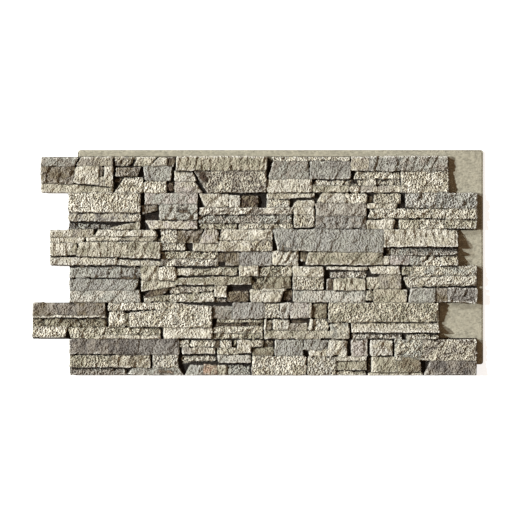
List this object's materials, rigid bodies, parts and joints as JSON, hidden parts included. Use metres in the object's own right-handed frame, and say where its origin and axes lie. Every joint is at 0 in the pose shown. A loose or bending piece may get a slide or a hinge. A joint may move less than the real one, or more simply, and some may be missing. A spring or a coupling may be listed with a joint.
{
  "type": "faux stone wall panel",
  "caption": "Rectangular moulded foam cladding panel with a dry-stacked ledge stone relief, a thin mounting plate with laps, and staggered ends that interlock with the next panel",
  "frame": {"origin": "middle of the overall box in length and height, on the flat back of the panel", "axes": "+X along the panel, from the fingers to the bare plate; +Y up the wall; +Z out of the wall, through the stone faces"},
  "size_m": [1.219, 0.61, 0.0423],
  "materials": {
    "painted_foam": "matte painted rigid polyurethane foam with a hard moulded skin"
  },
  "bodies": {
    "root": {"panel": "painted_foam"}
  },
  "joints": []
}
